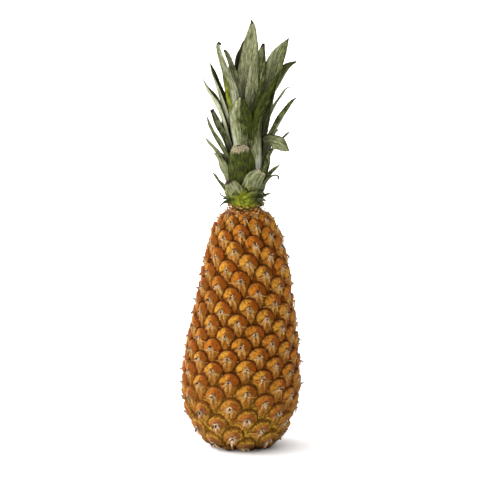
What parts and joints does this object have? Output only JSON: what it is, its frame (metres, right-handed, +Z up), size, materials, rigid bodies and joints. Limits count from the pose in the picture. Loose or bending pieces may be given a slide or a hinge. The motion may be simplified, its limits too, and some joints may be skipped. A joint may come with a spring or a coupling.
{
  "type": "sugarloaf pineapple",
  "caption": "Whole ripe sugarloaf pineapple standing upright: a tapering orange-brown fruit body covered in spiral fruitlets, with a crown of stiff grey-green leaves.",
  "frame": {"origin": "middle of the flat spot under the fruit, where the stem was cut and on which it stands", "axes": "+Z up along the fruit, from its base to the tip of the crown; the front seen in the picture faces -Y, and +X is the viewer's right"},
  "size_m": [0.109, 0.1096, 0.3926],
  "materials": {
    "fruit_skin": null,
    "crown_leaf": null
  },
  "bodies": {
    "root": {"fruit": "fruit_skin", "crown": "crown_leaf"}
  },
  "joints": []
}
